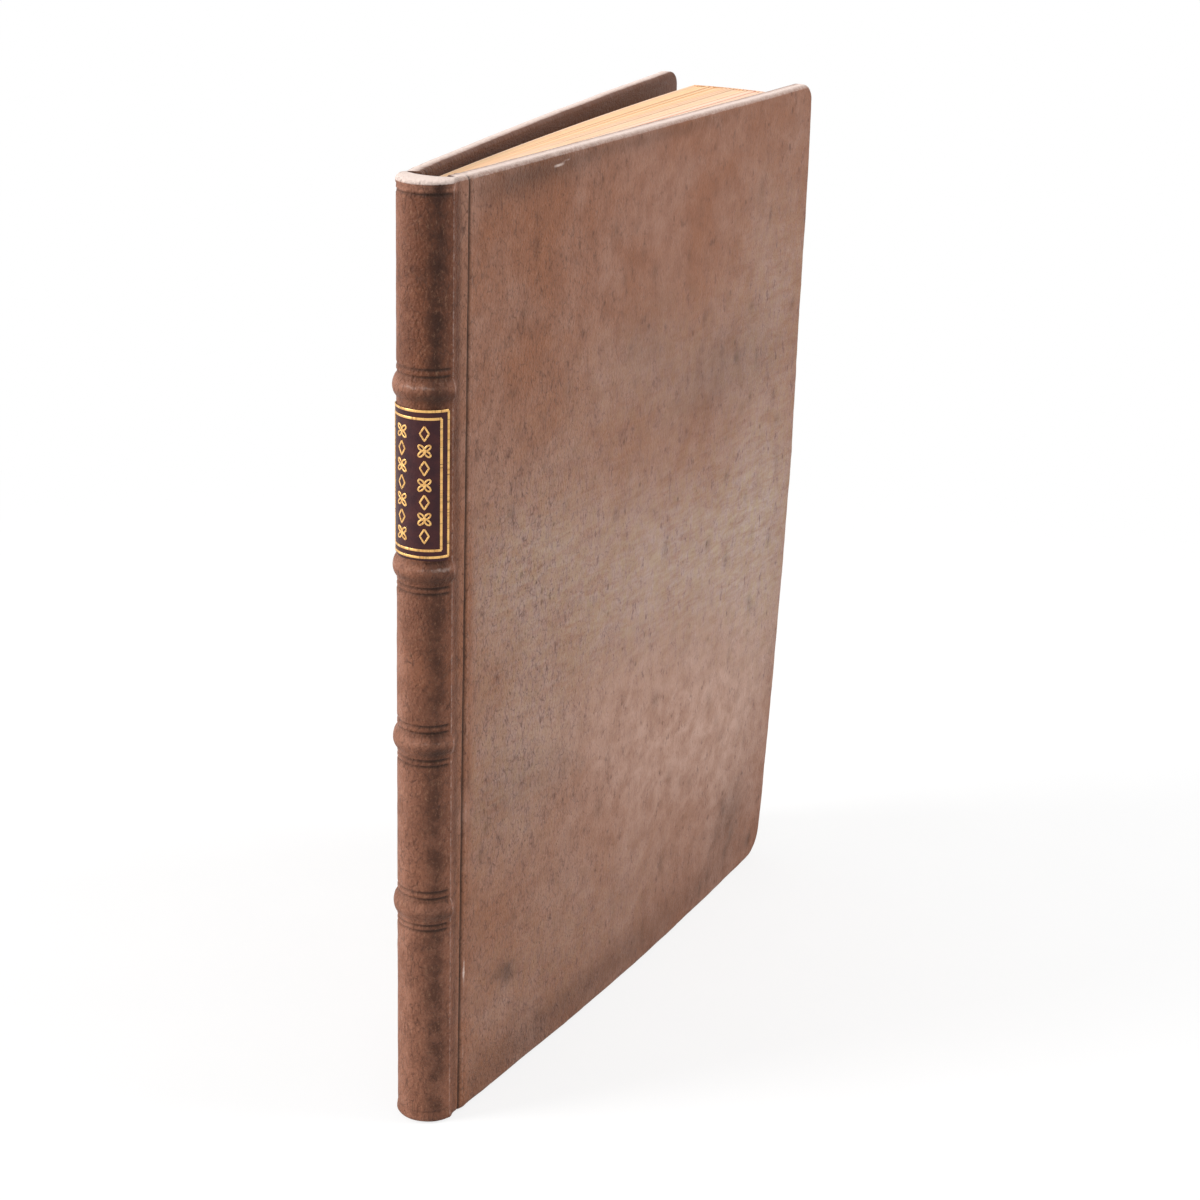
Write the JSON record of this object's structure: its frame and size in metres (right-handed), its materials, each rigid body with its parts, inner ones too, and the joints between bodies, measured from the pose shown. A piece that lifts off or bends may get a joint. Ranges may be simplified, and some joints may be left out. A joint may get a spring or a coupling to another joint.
{
  "type": "leather-bound book",
  "caption": "Thin antique book in full brown calf: rounded spine with raised bands and a gilt-framed label, warped pasteboard covers that open on leather joints, fanned leaves.",
  "frame": {"origin": "centre of the footprint at the height of the tail edges, on the surface that the book stands on", "axes": "+Z from tail to head, +X from the spine to the fore-edge, the front cover faces -Y"},
  "size_m": [0.146, 0.0351, 0.18],
  "materials": {
    "calf": "worn satin calf, mottled brown",
    "label_leather": "thin dark maroon goatskin",
    "gold_leaf": "rubbed gold leaf",
    "paper": "aged laid paper, toned edges",
    "pasteboard": "matt grey-brown pasteboard",
    "hemp_cord": "laid hemp cord",
    "endband_thread": "plain sewn thread over a core"
  },
  "bodies": {
    "book_block": {"text_block": "paper", "spine_leather": "calf", "headband": "endband_thread", "tailband": "endband_thread", "title_label": "label_leather", "label_gilding": "gold_leaf", "sewing_cord_1": "hemp_cord", "sewing_cord_2": "hemp_cord", "sewing_cord_3": "hemp_cord", "sewing_cord_4": "hemp_cord"},
    "front_cover": {"front_leather": "calf", "front_board": "pasteboard", "front_cord_slips": "hemp_cord", "front_pastedown": "paper"},
    "back_cover": {"back_leather": "calf", "back_board": "pasteboard", "back_cord_slips": "hemp_cord", "back_pastedown": "paper"}
  },
  "joints": [
    {"name": "front_joint", "type": "hinge", "parent": "book_block", "child": "front_cover", "pos_m": [-0.06502, -0.0117, 0], "axis": [0, 0, -1], "range_deg": [0, 170]},
    {"name": "back_joint", "type": "hinge", "parent": "book_block", "child": "back_cover", "pos_m": [-0.06502, 0.0007, 0], "axis": [0, 0, 1], "range_deg": [-1, 165]}
  ]
}
